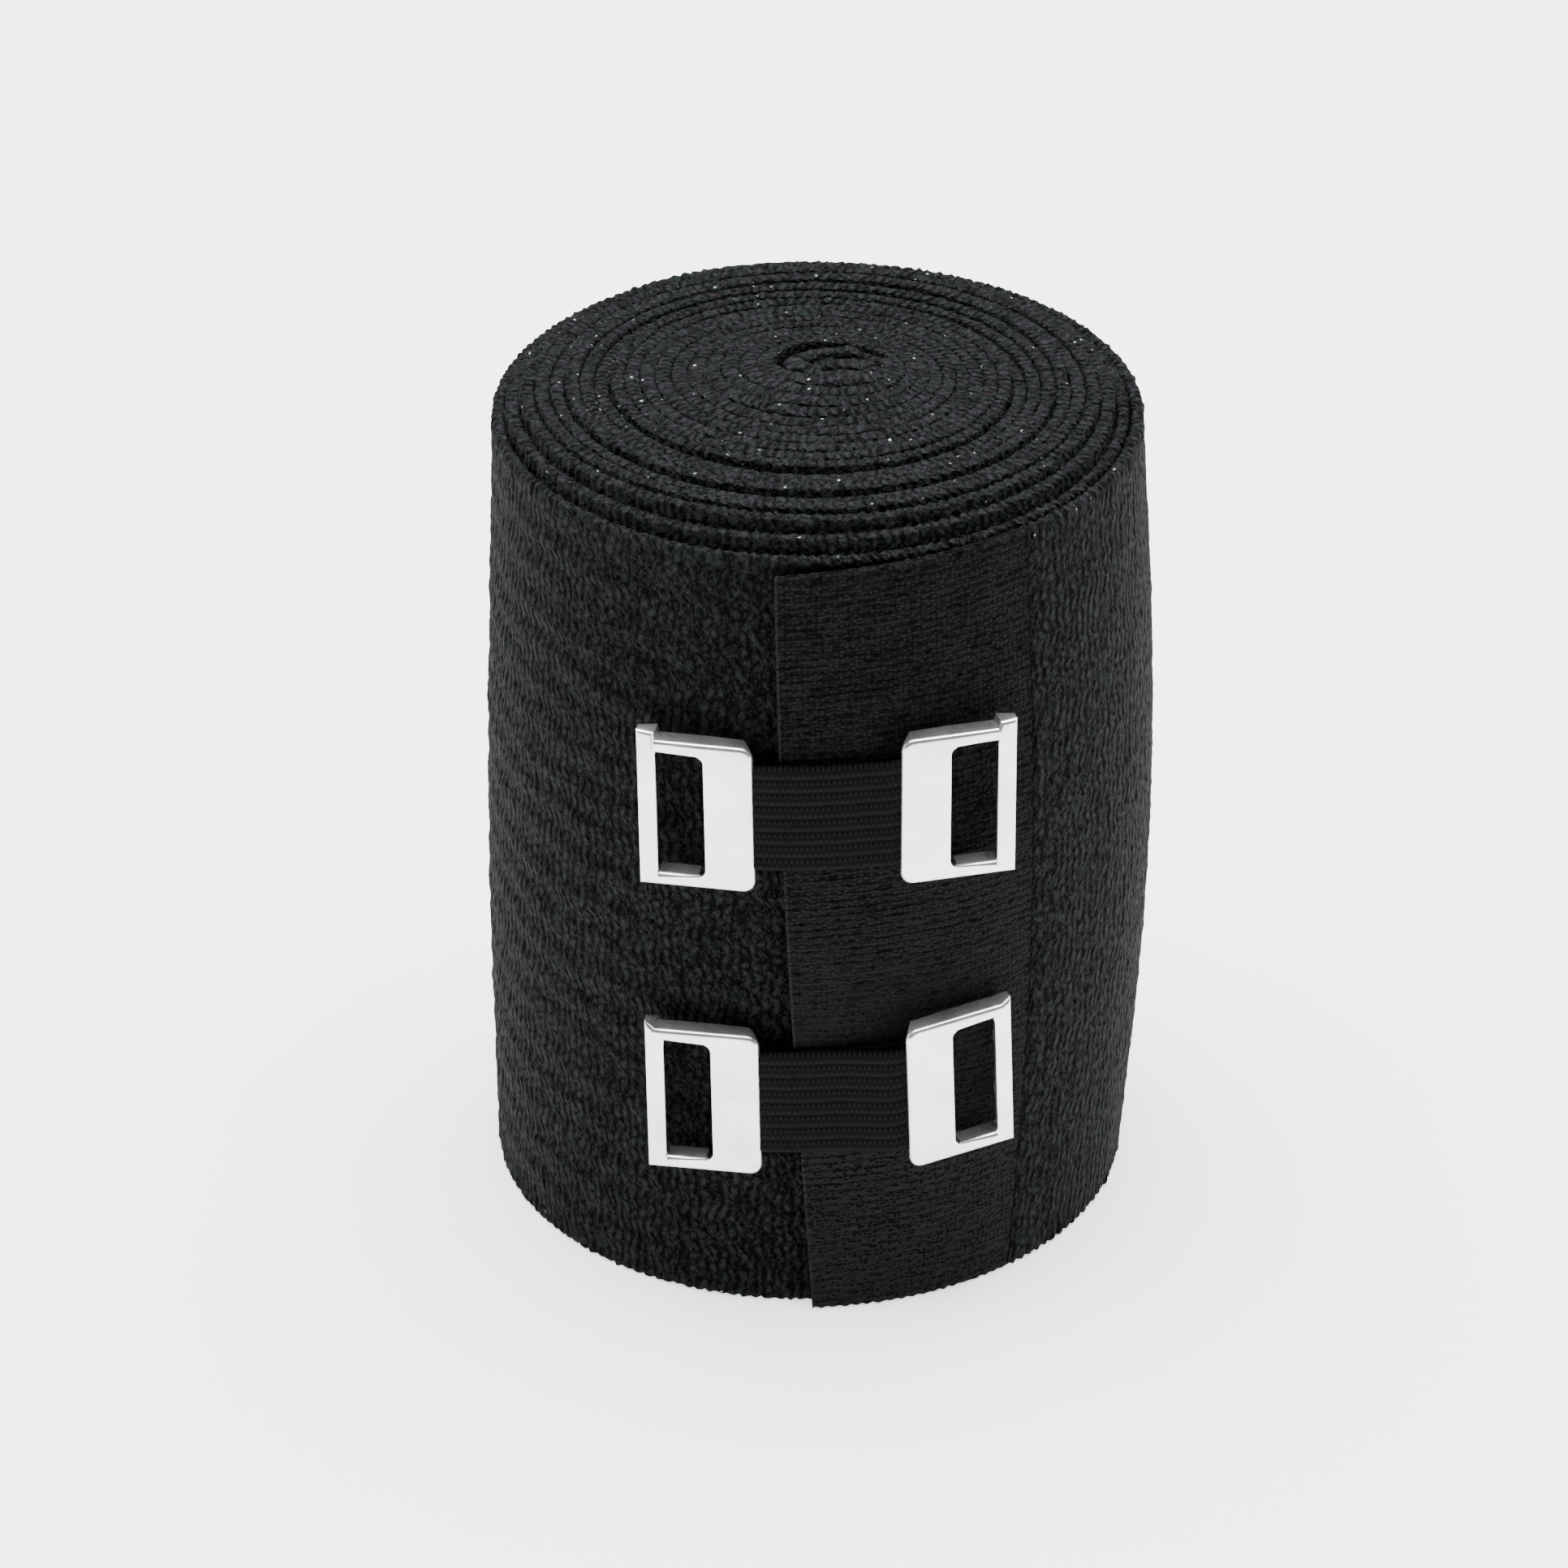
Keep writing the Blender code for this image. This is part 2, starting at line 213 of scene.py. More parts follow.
def edged_cloth(name, columns, profile, spot, relief, rope=1.0, thickness=CLOTH, settle=settled):
    """A strip with stitched edges as one closed skin. spot(share, up) gives the place on its middle
    surface, the way out, and the millimetres along the strip."""
    shape = bmesh.new()
    cloth = shape.verts.layers.float_vector.new("cloth")
    rows = len(profile)
    bmesh.ops.create_grid(shape, x_segments=columns, y_segments=rows, size=0.5)
    for vert in shape.verts:
        column = round((vert.co.x + 0.5) * columns)
        out, up, way_out, way_up, edge, skin = profile[round((vert.co.y + 0.5) * rows) % rows]
        place, away, along = spot(column / columns, up)
        bulge = relief(along, up) * (1 if out > 0 else 0.3) * (1 - edge)
        bulge += rope * edge_rope(along, out) * edge if rope else 0.0
        deep = thickness(along) if callable(thickness) else thickness
        place = place + away * (out * deep / 2 + way_out * bulge)
        place.z += way_up * bulge
        vert[cloth] = (along, skin, edge)
        vert.co = ROLL_AXIS + settle(place) * MM
    bmesh.ops.remove_doubles(shape, verts=shape.verts, dist=1e-7)
    ends = [edge for edge in shape.edges if edge.is_boundary]
    bmesh.ops.holes_fill(shape, edges=ends, sides=0)
    bmesh.ops.recalc_face_normals(shape, faces=shape.faces)
    return shown(shape, name)


# The crepe's finish: black cotton with a little elastic. Its yarns stand in short grains that run
# across the strip, with pits between them. Their colour is partly the yarn's own tone and partly
# painted shade in the pits and painted highlight on the grains. Bright specks painted on the edges
# stand in for cut fibres catching the light here and there.
class Signal:
    """A number that a material works out, so that sums can be written as sums."""

    def __init__(self, finish, socket):
        self.finish = finish
        self.socket = socket

    def sum(self, operation, *values):
        made = self.finish.node("ShaderNodeMath", {"operation": operation}, dict(enumerate(values)))
        return Signal(self.finish, made.outputs[0])

    def __add__(self, other):
        return self.sum("ADD", self, other)

    def __radd__(self, other):
        return self.sum("ADD", other, self)

    def __sub__(self, other):
        return self.sum("SUBTRACT", self, other)

    def __rsub__(self, other):
        return self.sum("SUBTRACT", other, self)

    def __mul__(self, other):
        return self.sum("MULTIPLY", self, other)

    def __rmul__(self, other):
        return self.sum("MULTIPLY", other, self)

    def __truediv__(self, other):
        return self.sum("DIVIDE", self, other)

    def above(self, level):
        return self.sum("GREATER_THAN", self, level)

    def wave(self):
        """A cosine that goes round once for each whole number, from 0 to 1."""
        return 0.5 + 0.5 * self.sum("COSINE", self * (2 * math.pi))

    def ease(self, low, high):
        """0 below low, 1 above high, and smooth between them."""
        settings = {"interpolation_type": "SMOOTHSTEP"}
        inputs = {"Value": self, "From Min": low, "From Max": high}
        made = self.finish.node("ShaderNodeMapRange", settings, inputs)
        return Signal(self.finish, made.outputs["Result"])


class Finish:
    """A material in the making."""

    def __init__(self, name, **constants):
        self.material = bpy.data.materials.new(name)
        self.material.use_nodes = True
        self.tree = self.material.node_tree
        self.shader = self.tree.nodes["Principled BSDF"]
        for key, value in constants.items():
            self.shader.inputs[key.replace("_", " ").title()].default_value = value

    def node(self, kind, settings=None, inputs=None):
        made = self.tree.nodes.new(kind)
        for key, value in (settings or {}).items():
            if key == "stops":
                for stop in value[2:]:
                    made.color_ramp.elements.new(stop[0])
                for element, stop in zip(made.color_ramp.elements, value):
                    element.position = stop[0]
                    element.color = (*stop[1], 1)
            else:
                setattr(made, key, value)
        for key, value in (inputs or {}).items():
            self.feed(made.inputs[key], value)
        return made

    def feed(self, socket, value):
        if isinstance(value, Signal):
            value = value.socket
        if isinstance(value, bpy.types.NodeSocket):
            self.tree.links.new(value, socket)
        else:
            socket.default_value = value

    def signal(self, kind, output, settings=None, inputs=None):
        return Signal(self, self.node(kind, settings, inputs).outputs[output])

    def vector(self, x, y, z=0.0):
        return self.node("ShaderNodeCombineXYZ", None, {"X": x, "Y": y, "Z": z}).outputs[0]

    def noise(self, place, scale=1.0, detail=2.0):
        inputs = {"Vector": place, "Scale": scale, "Detail": detail}
        return self.signal("ShaderNodeTexNoise", "Fac", None, inputs)

    def cells(self, place, randomness=1.0):
        inputs = {"Vector": place, "Scale": 1.0, "Randomness": randomness}
        return self.node("ShaderNodeTexVoronoi", None, inputs)

    def cloth(self):
        """Millimetres along the strip, millimetres up it, and 1 on a stitched edge."""
        place = self.node("ShaderNodeAttribute", {"attribute_name": "cloth"}).outputs["Vector"]
        parts = self.node("ShaderNodeSeparateXYZ", None, {"Vector": place}).outputs
        return [Signal(self, part) for part in parts]

    def blend(self, share, first, second):
        settings = {"data_type": "RGBA"}
        made = self.node("ShaderNodeMix", settings, {"Factor": share, 6: first, 7: second})
        return made.outputs[2]

    def shade(self, amount, stops):
        return self.node("ShaderNodeValToRGB", {"stops": stops}, {"Fac": amount}).outputs["Color"]

    def bump(self, height, distance, strength=1.0):
        inputs = {"Height": height, "Distance": distance, "Strength": strength}
        made = self.node("ShaderNodeBump", None, inputs)
        self.feed(self.shader.inputs["Normal"], made.outputs["Normal"])


def crepe_finish():
    crepe = Finish("crepe", roughness=0.8, sheen_weight=0.012, sheen_roughness=0.5)
    crepe.shader.inputs["Sheen Tint"].default_value = (0.72, 0.82, 0.95, 1)
    crepe.shader.inputs["Specular IOR Level"].default_value = 0.04
    along, up, edge = crepe.cloth()
    # Bumps a little under a millimetre across stand in ribs, each rib half a bump off the next.
    sway = crepe.noise(crepe.vector(along / 6, up / 5), 1.0, 1.0) - 0.5
    patch = crepe.noise(crepe.vector(along / 20, up / 17, 4.0), 1.0, 1.0).ease(0.4, 0.6)
    column = along / 0.86 + sway * 2.0 + (up / 2.6 + sway).wave() * 0.3
    step = column.sum("ROUND", column) * 0.5
    zigzag = column.sum("PINGPONG", column, 0.5) * 1.7
    net = crepe.vector(column, up / 1.05 + step + sway * 1.5)
    bumps = crepe.cells(net, 0.55)
    bump = 1 - Signal(crepe, bumps.outputs["Distance"]).ease(0.12, 0.66)
    shade_of_bump = crepe.node("ShaderNodeSeparateColor", None, {"Color": bumps.outputs["Color"]})
    mood = Signal(crepe, shade_of_bump.outputs["Green"])
    rib = column.wave()
    yarn = crepe.cells(crepe.vector(along / 0.27, up / 0.38 + zigzag), 0.95)
    fibre = 1 - Signal(crepe, yarn.outputs["Distance"]).ease(0.05, 0.75)
    lumps = crepe.noise(crepe.vector(along / 1.3, up / 1.6), 1.0, 2.0)
    rope = (along / 1.05 + 0.2).wave() * edge
    height = bump * 0.9 + fibre * 0.35 + lumps * 0.4 + rib * 0.5 + rope * 0.3
    crepe.bump(height, 0.0003)
    dark = (0.0002, 0.0002, 0.0002)
    middle = (0.0021, 0.0022, 0.0021)
    light = (0.021, 0.0217, 0.0213)
    # Painted shade: on the puckered side, the crease lines between the folds are painted darker.
    fold = ((up + along * 0.1) / PUCKER_PITCH + sway * 0.9).wave().ease(0.0, 0.16)
    reach = (along - FOLDED_SIDE).sum("ABSOLUTE", along - FOLDED_SIDE)
    folded = (1 - fold) * (1 - reach.ease(12.0, 30.0)) * 0.09
    # Painted shade and highlight: the level follows the relief, so the pits are painted darker and
    # the grains lighter, over the yarn's own tone.
    level = bump * 0.32 + fibre * 0.36 + lumps * 0.18 + mood * 0.1 + rib * (0.1 + patch * 0.12)
    # Painted light: the stitched edges, most of which form the roll's top, are painted lighter and
    # stand in for the light falling on the top.
    level = level + edge * 0.1 - patch * 0.06 - folded - 0.03
    base = crepe.shade(level, ((0.2, dark), (0.88, light), (0.5, middle)))
    tint = crepe.noise(crepe.vector(along / 1.6, up / 1.6, 7.0), 1.0, 2.0)
    violet, green, grey = (1.2, 0.93, 1.2), (0.82, 1.15, 1.06), (0.98, 1.02, 1.0)
    hue = crepe.shade(tint, ((0.32, violet), (0.68, green), (0.5, grey)))
    settings = {"data_type": "RGBA", "blend_type": "MULTIPLY"}
    tinted = crepe.node("ShaderNodeMix", settings, {"Factor": 0.9, 6: base, 7: hue}).outputs[2]
    # Painted highlights: bright specks in the base colour stand in for cut fibres on the edges
    # catching the light, most of them behind and on the left.
    place = crepe.node("ShaderNodeTexCoord").outputs["Object"]
    where = crepe.node("ShaderNodeSeparateXYZ", None, {"Vector": place}).outputs
    lit = (Signal(crepe, where["Y"]) * 25 - Signal(crepe, where["X"]) * 40).ease(-1.0, 1.2)
    specks = crepe.cells(crepe.vector(along / 0.75, up / 0.6), 1.0)
    chance = crepe.node("ShaderNodeSeparateColor", None, {"Color": specks.outputs["Color"]})
    rare = (Signal(crepe, chance.outputs["Red"]) + lit * 0.06).above(0.965)
    tiny = 1 - Signal(crepe, specks.outputs["Distance"]).ease(0.08, 0.24)
    painted_glint = rare * tiny * edge * (0.25 + Signal(crepe, chance.outputs["Green"]))
    crepe.feed(crepe.shader.inputs["Base Color"], crepe.blend(painted_glint, tinted, (0.45, 0.47, 0.47, 1)))
    return crepe.material


FOLDED_SIDE = along_at(PUCKER_ANGLE)
crepe = crepe_finish()


# The outermost whole turn of the strip. It starts where the tail leaves it, on the right, and its
# face is the side of the roll all round.
def spiral_spot(start, stop):
    """The places between two angles, spaced evenly along the strip."""
    first, last = along_at(start), along_at(stop)

    def spot(share, up):
        along = first + share * (last - first)
        angle = angle_at(along)
        place = on_spiral(angle)
        place.z += up
        return place, outward(angle), along

    return spot


TAIL_ROOT = 92.0
TURN_END = 450.0
outer_turn = edged_cloth(
    "outer_turn",
    450,
    strip_profile(STRIP_WIDTH, 184, 2),
    spiral_spot(TAIL_ROOT, TURN_END),
    crepe_relief,
)
outer_turn.data.materials.append(crepe)
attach(outer_turn, "roll")
(along_at(TURN_END) - along_at(TAIL_ROOT)) * MM


# The inner turns, down to the strip's start, which is folded into three layers in the core.
FOLD_BEND = 1.25
FOLD_REACH = 2.2
STITCH_STEP = 0.34
CRUMPLED_STEPS = 90
BULKY_LENGTH = 27


def bend(centre, radius, start, stop):
    """Points on a level arc, evenly spaced, without its first one. Its angles start at +X."""
    steps = round(abs(math.radians(stop - start)) * radius / STITCH_STEP)
    turns = [math.radians(start + (stop - start) * (i + 1) / steps) for i in range(steps)]
    return [centre + radius * Vector((math.cos(t), math.sin(t), 0)) for t in turns]


def straight(start, stop):
    steps = round((stop - start).length / STITCH_STEP)
    return [start.lerp(stop, (i + 1) / steps) for i in range(steps)]


def inner_line():
    """The middle line of the inner turns, a step apart, with the folded start at its end."""
    first, last = along_at(TURN_END), along_at(CORE_ANGLE)
    steps = round((last - first) / STITCH_STEP)
    line = [on_spiral(angle_at(first + (last - first) * i / steps)) for i in range(steps + 1)]
    edge = line[-1]
    back = 2 * FOLD_BEND
    line += bend(edge - Vector((back, 0, 0)), back, 0, 90)
    line += straight(line[-1], Vector((-FOLD_REACH, back, edge.z)))
    line += bend(Vector((-FOLD_REACH, FOLD_BEND, edge.z)), FOLD_BEND, 90, 270)
    line += straight(line[-1], Vector((FOLD_REACH, 0, edge.z)))
    line += bend(Vector((FOLD_REACH, -FOLD_BEND, edge.z)), FOLD_BEND, 90, -90)
    line += straight(line[-1], Vector((-FOLD_REACH, -back, edge.z)))
    for i in range(1, CRUMPLED_STEPS):
        spot = line[-i]
        sink = -0.5 * math.sin(math.pi * i / CRUMPLED_STEPS)
        crumple = noise.noise_vector(spot / 1.6) * min(1.0, (CRUMPLED_STEPS - i) / 20)
        line[-i] = spot + Vector((0.35 * crumple.x, 0.35 * crumple.y, sink + 0.6 * crumple.z))
    return line


CRUMPLE_SEED = 4
noise.seed_set(CRUMPLE_SEED)
line = inner_line()


def inner_spot(share, up):
    at = round(share * (len(line) - 1))
    before, after = line[max(at - 1, 0)], line[min(at + 1, len(line) - 1)]
    way = after - before
    away = Vector((way.y, -way.x, 0)).normalized()
    return line[at] + Vector((0, 0, up)), away, along_at(TURN_END) + at * STITCH_STEP


def inner_thickness(along):
    """The turns press on one another, and the folded start in the core is crumpled and bulky."""
    left = along_at(TURN_END) + (len(line) - 1) * STITCH_STEP - along
    if left < BULKY_LENGTH:
        return 1.3 + 0.5 * min(1.0, (BULKY_LENGTH - left) / 3)
    return 1.3 if outer_radius(angle_at(along)) < MIDDLE_TURNS else 1.2


# The lower edge can't be seen inside the roll, so it has fewer rows.
hidden_profile = strip_profile(STRIP_WIDTH, 2, 2, 0.22)
inner_turns = edged_cloth(
    "inner_turns",
    len(line) - 1,
    hidden_profile[:-4] + hidden_profile[-1:],
    inner_spot,
    crepe_relief,
    thickness=inner_thickness,
)
inner_turns.data.materials.append(crepe)
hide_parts("wound_roll")
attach(inner_turns, "roll")


# The tail: the last stretch of crepe, which lies on the roll up to the end band's seam.
SEAM_ANGLE = 38.2
SEAM_GAP = 0.12


def on_face(angle):
    return ROLL_AXIS + outward(angle) * outer_radius(angle) * MM


tail = edged_cloth(
    "tail_cloth",
    72,
    strip_profile(STRIP_WIDTH, 184, 12),
    spiral_spot(SEAM_ANGLE + SEAM_GAP, TAIL_ROOT),
    crepe_relief,
)
tail.data.materials.append(crepe)
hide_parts("tail")
on_face(88)
on_face(72)
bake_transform(tail)
(along_at(TAIL_ROOT) - along_at(SEAM_ANGLE + SEAM_GAP)) * MM


# The end band: the strip's finished end, a finer and denser knit with stitches in level rows. Its
# end was cut a little slantwise, and the cut shows a thin pale line of ends.
END_SLANT = 7.85
END_TOP_DROP = 1.3
ROW_HEIGHT = 0.74


def band_relief(along, up):
    row = math.cos(2 * math.pi * up / 0.62)
    lump = noise.noise(Vector((along / 2.5, up / 3.5, 2)))
    return 0.012 * row + 0.05 * lump


def band_spot(share, up):
    height = up / STRIP_WIDTH
    start = END_ANGLE + END_SLANT * (1 - height) ** 2
    angle = start + share * (SEAM_ANGLE - SEAM_GAP - start)
    top_drop = END_TOP_DROP * (1 - share) ** 2
    place = on_spiral(angle)
    place.z = up - top_drop * height
    lift = 0.25 * math.exp(-share * 14) * (0.5 + noise.noise(Vector((0, up / 12, 4))))
    return place + outward(angle) * lift, outward(angle), along_at(angle) - along_at(start)


def band_finish():
    band = Finish("band knit", roughness=0.8, sheen_weight=0.008, sheen_roughness=0.5)
    band.shader.inputs["Sheen Tint"].default_value = (0.75, 0.78, 0.85, 1)
    band.shader.inputs["Specular IOR Level"].default_value = 0.04
    along, up, _ = band.cloth()
    sway = band.noise(band.vector(along / 6, up / 5), 1.0, 1.0) - 0.5
    stitches = band.cells(band.vector(along / 0.45, up / 0.36 + sway * 0.6), 0.6)
    stitch = 1 - Signal(band, stitches.outputs["Distance"]).ease(0.1, 0.7)
    # The colour follows the relief: the raised stitches are lighter and the sunk dashes between
    # rows are darker. This is partly their own tone and partly painted shade.
    dashes = band.cells(band.vector(along / 1.5, up / ROW_HEIGHT + sway * 0.5), 0.85)
    dash = 1 - Signal(band, dashes.outputs["Distance"]).ease(0.08, 0.4)
    lumps = band.noise(band.vector(along / 1.4, up / 1.1), 1.0, 3.0)
    rows = (up / ROW_HEIGHT + sway * 0.5).wave()
    patches = band.noise(band.vector(along / 4.5, up / 2.6), 1.0, 2.0) - 0.5
    # Painted light: the band is painted lighter towards its foot and stands in for the light thrown
    # up from the floor.
    low = 1 - up.ease(8.0, 60.0)
    band.bump(stitch * 0.6 + lumps * 0.6 + rows * 0.35 - dash * 0.4, 0.00022)
    level = stitch * 0.44 + lumps * 0.5 + patches * 0.35 + rows * 0.14 - dash * 0.26 + low * 0.34
    dark = (0.0003, 0.0003, 0.0003)
    middle = (0.0026, 0.0026, 0.0026)
    light = (0.0125, 0.0125, 0.0127)
    base = band.shade(level, ((0.22, dark), (0.85, light), (0.5, middle)))
    cut = 1 - along.ease(0.12, 0.3)
    ends = (0.02, 0.02, 0.0205, 1)
    band.feed(band.shader.inputs["Base Color"], band.blend(cut * 0.6, base, ends))
    return band.material


end_band = edged_cloth(
    "end_band_cloth",
    80,
    strip_profile(STRIP_WIDTH, 150, 20),
    band_spot,
    band_relief,
    rope=0.5,
)
end_band.data.materials.append(band_finish())
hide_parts("end_band")
on_face(37)
on_face(28)
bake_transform(end_band)


# The seam between the band and the tail: a line of short black stitches that slant across it.
STITCH_PITCH = 2.1
STITCH_SIZE = Vector((0.15, 0.08, 0.7))


def sew_seam():
    shape = bmesh.new()
    count = int(STRIP_WIDTH / STITCH_PITCH)
    away = outward(SEAM_ANGLE)
    side = Vector((-away.y, away.x, 0))
    for i in range(count):
        stitch = bmesh.ops.create_uvsphere(shape, u_segments=8, v_segments=6, radius=1)["verts"]
        bmesh.ops.scale(shape, verts=stitch, vec=STITCH_SIZE * MM)
        lean = Matrix.Rotation(math.radians(9 + 6 * noise.noise(Vector((i * 0.7, 0, 1)))), 3, "Y")
        facing = Matrix((side, -away, Vector((0, 0, 1)))).transposed()
        bmesh.ops.rotate(shape, verts=stitch, matrix=facing @ lean)
        place = on_spiral(SEAM_ANGLE) + away * (CLOTH / 2 + 0.01)
        place.z = (i + 0.5) * STRIP_WIDTH / count
        bmesh.ops.translate(shape, verts=stitch, vec=ROLL_AXIS + settled(place) * MM)
    bmesh.ops.recalc_face_normals(shape, faces=shape.faces)
    return shown(shape, "seam_stitches")


def thread_finish():
    thread = Finish("sewing thread", roughness=0.85)
    thread.shader.inputs["Specular IOR Level"].default_value = 0.05
    place = thread.node("ShaderNodeTexCoord").outputs["Object"]
    settings = {"bands_direction": "DIAGONAL"}
    twist = thread.signal("ShaderNodeTexWave", "Fac", settings, {"Vector": place, "Scale": 900.0})
    shade = thread.shade(twist, ((0.0, (0.0012, 0.0012, 0.0012)), (1.0, (0.0045, 0.0045, 0.005))))
    thread.feed(thread.shader.inputs["Base Color"], shade)
    thread.bump(twist, 0.00003)
    return thread.material


seam = sew_seam()
seam.data.materials.append(thread_finish())
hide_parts("seam_thread")
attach(seam, "tail_panel")


# The clips' plates. Each is stamped from bright aluminium sheet: its edges are turned in, its
# window's ends are curled in, and a point stands at its outer corner. Teeth on the outer edge bite
# the cloth.
PLATE_LENGTH = 10.3
PLATE_HEIGHT = 14.4
SHEET = 0.4
SOLID_LENGTH = 4.35
WINDOW_LENGTH = 4.25
WINDOW_HEIGHT = 12.0
STAND_OFF = 2.6
CORNER_RADIUS = 1.1
WINDOW_RADIUS = 0.7
EDGE_ROUND = 0.42
LIP_DEPTH = 1.6
TOOTH_RAKE = 0.4
CLIPS = (
    ("upper", (-19.8, 50.1, -12.5, 0.7), (22.4, 51.3, 14.4, -0.2)),
    ("lower", (-19.1, 20.9, -11.0, 0.8), (23.1, 22.6, 25.8, 1.9)),
)


def hook_frame(place, side):
    """The middle of a plate's strap edge, on its outer face: x away from the strap, z outward."""
    angle, height, facing, turn = place
    away = outward(facing)
    reach = Vector((-away.y, away.x, 0)) * side
    cloth = angle if angle > END_ANGLE else angle + 360
    start = outward(angle) * (outer_radius(cloth) + STAND_OFF) - reach * PLATE_LENGTH / 2
    start.z = height
    turned = Matrix((reach, away.cross(reach), away)).transposed().to_4x4()
    return Matrix.Translation(start) @ turned


def stamped_plate(name, frame_of_plate, turn, top, ear, point, tooth):
    """top is +1 if the plate's own y runs up. Its upper outer corner stands up as an ear: ear is
    where that begins, in millimetres from the outer side, and point is how far it stands up. tooth
    is how far the teeth reach in."""
    half = PLATE_HEIGHT / 2
    window = WINDOW_HEIGHT / 2
    columns = (0, SOLID_LENGTH, SOLID_LENGTH + WINDOW_LENGTH, PLATE_LENGTH - ear, PLATE_LENGTH)
    rows = (-half, -window, -0.6, 0.6, window, half)
    shape = bmesh.new()
    bmesh.ops.create_grid(shape, x_segments=len(columns) - 1, y_segments=len(rows) - 1, size=0.5)
    for vert in shape.verts:
        column = columns[round((vert.co.x + 0.5) * (len(columns) - 1))]
        row = rows[round((vert.co.y + 0.5) * (len(rows) - 1))]
        vert.co = (column, row, 0)

    def middle(part):
        return sum((vert.co for vert in part.verts), Vector()) / len(part.verts)

    hole = [
        face
        for face in shape.faces
        if columns[1] < middle(face).x < columns[2] and abs(middle(face).y) < window
    ]
    bmesh.ops.delete(shape, geom=hole, context="FACES")

    def soften(chosen, radius, steps):
        picked = [vert for vert in shape.verts if chosen(vert.co)]
        settings = {"affect": "VERTICES", "profile": 0.5, "material": -1}
        bmesh.ops.bevel(shape, geom=picked, offset=radius, segments=steps, **settings)

    soften(lambda at: at.x < 1e-6 and abs(at.y) > half - 1e-6, CORNER_RADIUS, 5)
    soften(
        lambda at: abs(at.x - columns[1]) < 1e-6 and abs(abs(at.y) - window) < 1e-6,
        WINDOW_RADIUS,
        4,
    )
    for vert in shape.verts:
        if vert.co.y * top > half - 1e-6:
            if vert.co.x > PLATE_LENGTH - 1e-6:
                vert.co.y += top * point
            elif ear > 1 and vert.co.x > PLATE_LENGTH - ear - 1e-6:
                vert.co.y += top * point * 0.8

    # The outer rim is turned in: deep above and below, shallow where the strap comes out.
    def beside_window(edge):
        at = middle(edge)
        return columns[1] - 0.1 < at.x < columns[2] + 0.1 and abs(at.y) < window + 0.1

    rim = [edge for edge in shape.edges if edge.is_boundary and not beside_window(edge)]
    crease = list(rim)
    grown = bmesh.ops.extrude_edge_only(shape, edges=rim)["geom"]
    for vert in [part for part in grown if isinstance(part, bmesh.types.BMVert)]:
        share = min(1.0, max(0.0, vert.co.x / 1.4))
        depth = 0.5 + 1.35 * share * share * (3 - 2 * share)
        if vert.co.x > PLATE_LENGTH - 1e-6:
            depth = 1.15
        vert.co.z -= depth
    # The window's ends are curled in.
    lips = [edge for edge in shape.edges if edge.is_boundary and abs(middle(edge).z) < 1e-6
            and abs(abs(middle(edge).y) - window) < 1e-4]
    crease += lips
    grown = bmesh.ops.extrude_edge_only(shape, edges=lips)["geom"]
    for vert in [part for part in grown if isinstance(part, bmesh.types.BMVert)]:
        vert.co.z -= LIP_DEPTH
        vert.co.y += 0.25 if vert.co.y < 0 else -0.25
    creased = [edge for edge in crease if edge.is_valid and len(edge.link_faces) == 2]
    settings = {"affect": "EDGES", "profile": 0.5, "material": -1}
    bmesh.ops.bevel(shape, geom=creased, offset=EDGE_ROUND, segments=5, **settings)
    # Teeth bend in from the outer edge.
    for level in (-half + 0.8, -2.6, 2.6, half - 0.8):
        edges = [edge for edge in shape.edges if edge.is_boundary and middle(edge).z < -0.9
                 and middle(edge).x > PLATE_LENGTH - 0.5]
        nearest = min(edges, key=lambda edge: abs(middle(edge).y - level))
        grown = bmesh.ops.extrude_edge_only(shape, edges=[nearest])["geom"]
        tips = [part for part in grown if isinstance(part, bmesh.types.BMVert)]
        for vert in tips:
            width = (vert.co.y - level) * 0.15
            vert.co = Vector((vert.co.x - TOOTH_RAKE, level + width, -tooth))
    swivel = Matrix.Translation((PLATE_LENGTH / 2, 0, 0))
    turned = swivel @ Matrix.Rotation(math.radians(turn), 4, "Z") @ swivel.inverted()
    shape.transform(frame_of_plate @ turned)
    for vert in shape.verts:
        vert.co = ROLL_AXIS + vert.co * MM
    piece = shown(shape, name)
    wall = piece.modifiers.new("sheet", "SOLIDIFY")
    wall.thickness = SHEET * MM
    wall.offset = -1
    wall.use_even_offset = True
    trim = piece.modifiers.new("burr", "BEVEL")
    trim.width = 0.05 * MM
    trim.segments = 2
    trim.limit_method = "ANGLE"
    trim.angle_limit = math.radians(50)
    return piece


def aluminium_finish():
    metal = Finish("bright aluminium", metallic=0.93)
    place = metal.node("ShaderNodeTexCoord").outputs["Object"]
    stretched = {"operation": "MULTIPLY"}
    along_sheet = metal.node("ShaderNodeVectorMath", stretched, {0: place, 1: (500, 500, 60)})
    all_ways = metal.node("ShaderNodeVectorMath", stretched, {0: place, 1: (260, 260, 260)})
    drawn = metal.noise(along_sheet.outputs[0], 1.0, 3.0)
    wear = metal.noise(all_ways.outputs[0], 1.0, 4.0)
    metal.feed(metal.shader.inputs["Roughness"], 0.18 + 0.14 * drawn + 0.08 * wear)
    shade = metal.shade(wear, ((0.3, (0.7, 0.705, 0.7)), (0.7, (0.9, 0.905, 0.9))))
    metal.feed(metal.shader.inputs["Base Color"], shade)
    metal.bump(drawn * 0.4 + wear * 0.9, 0.000015, 0.7)
    return metal.material


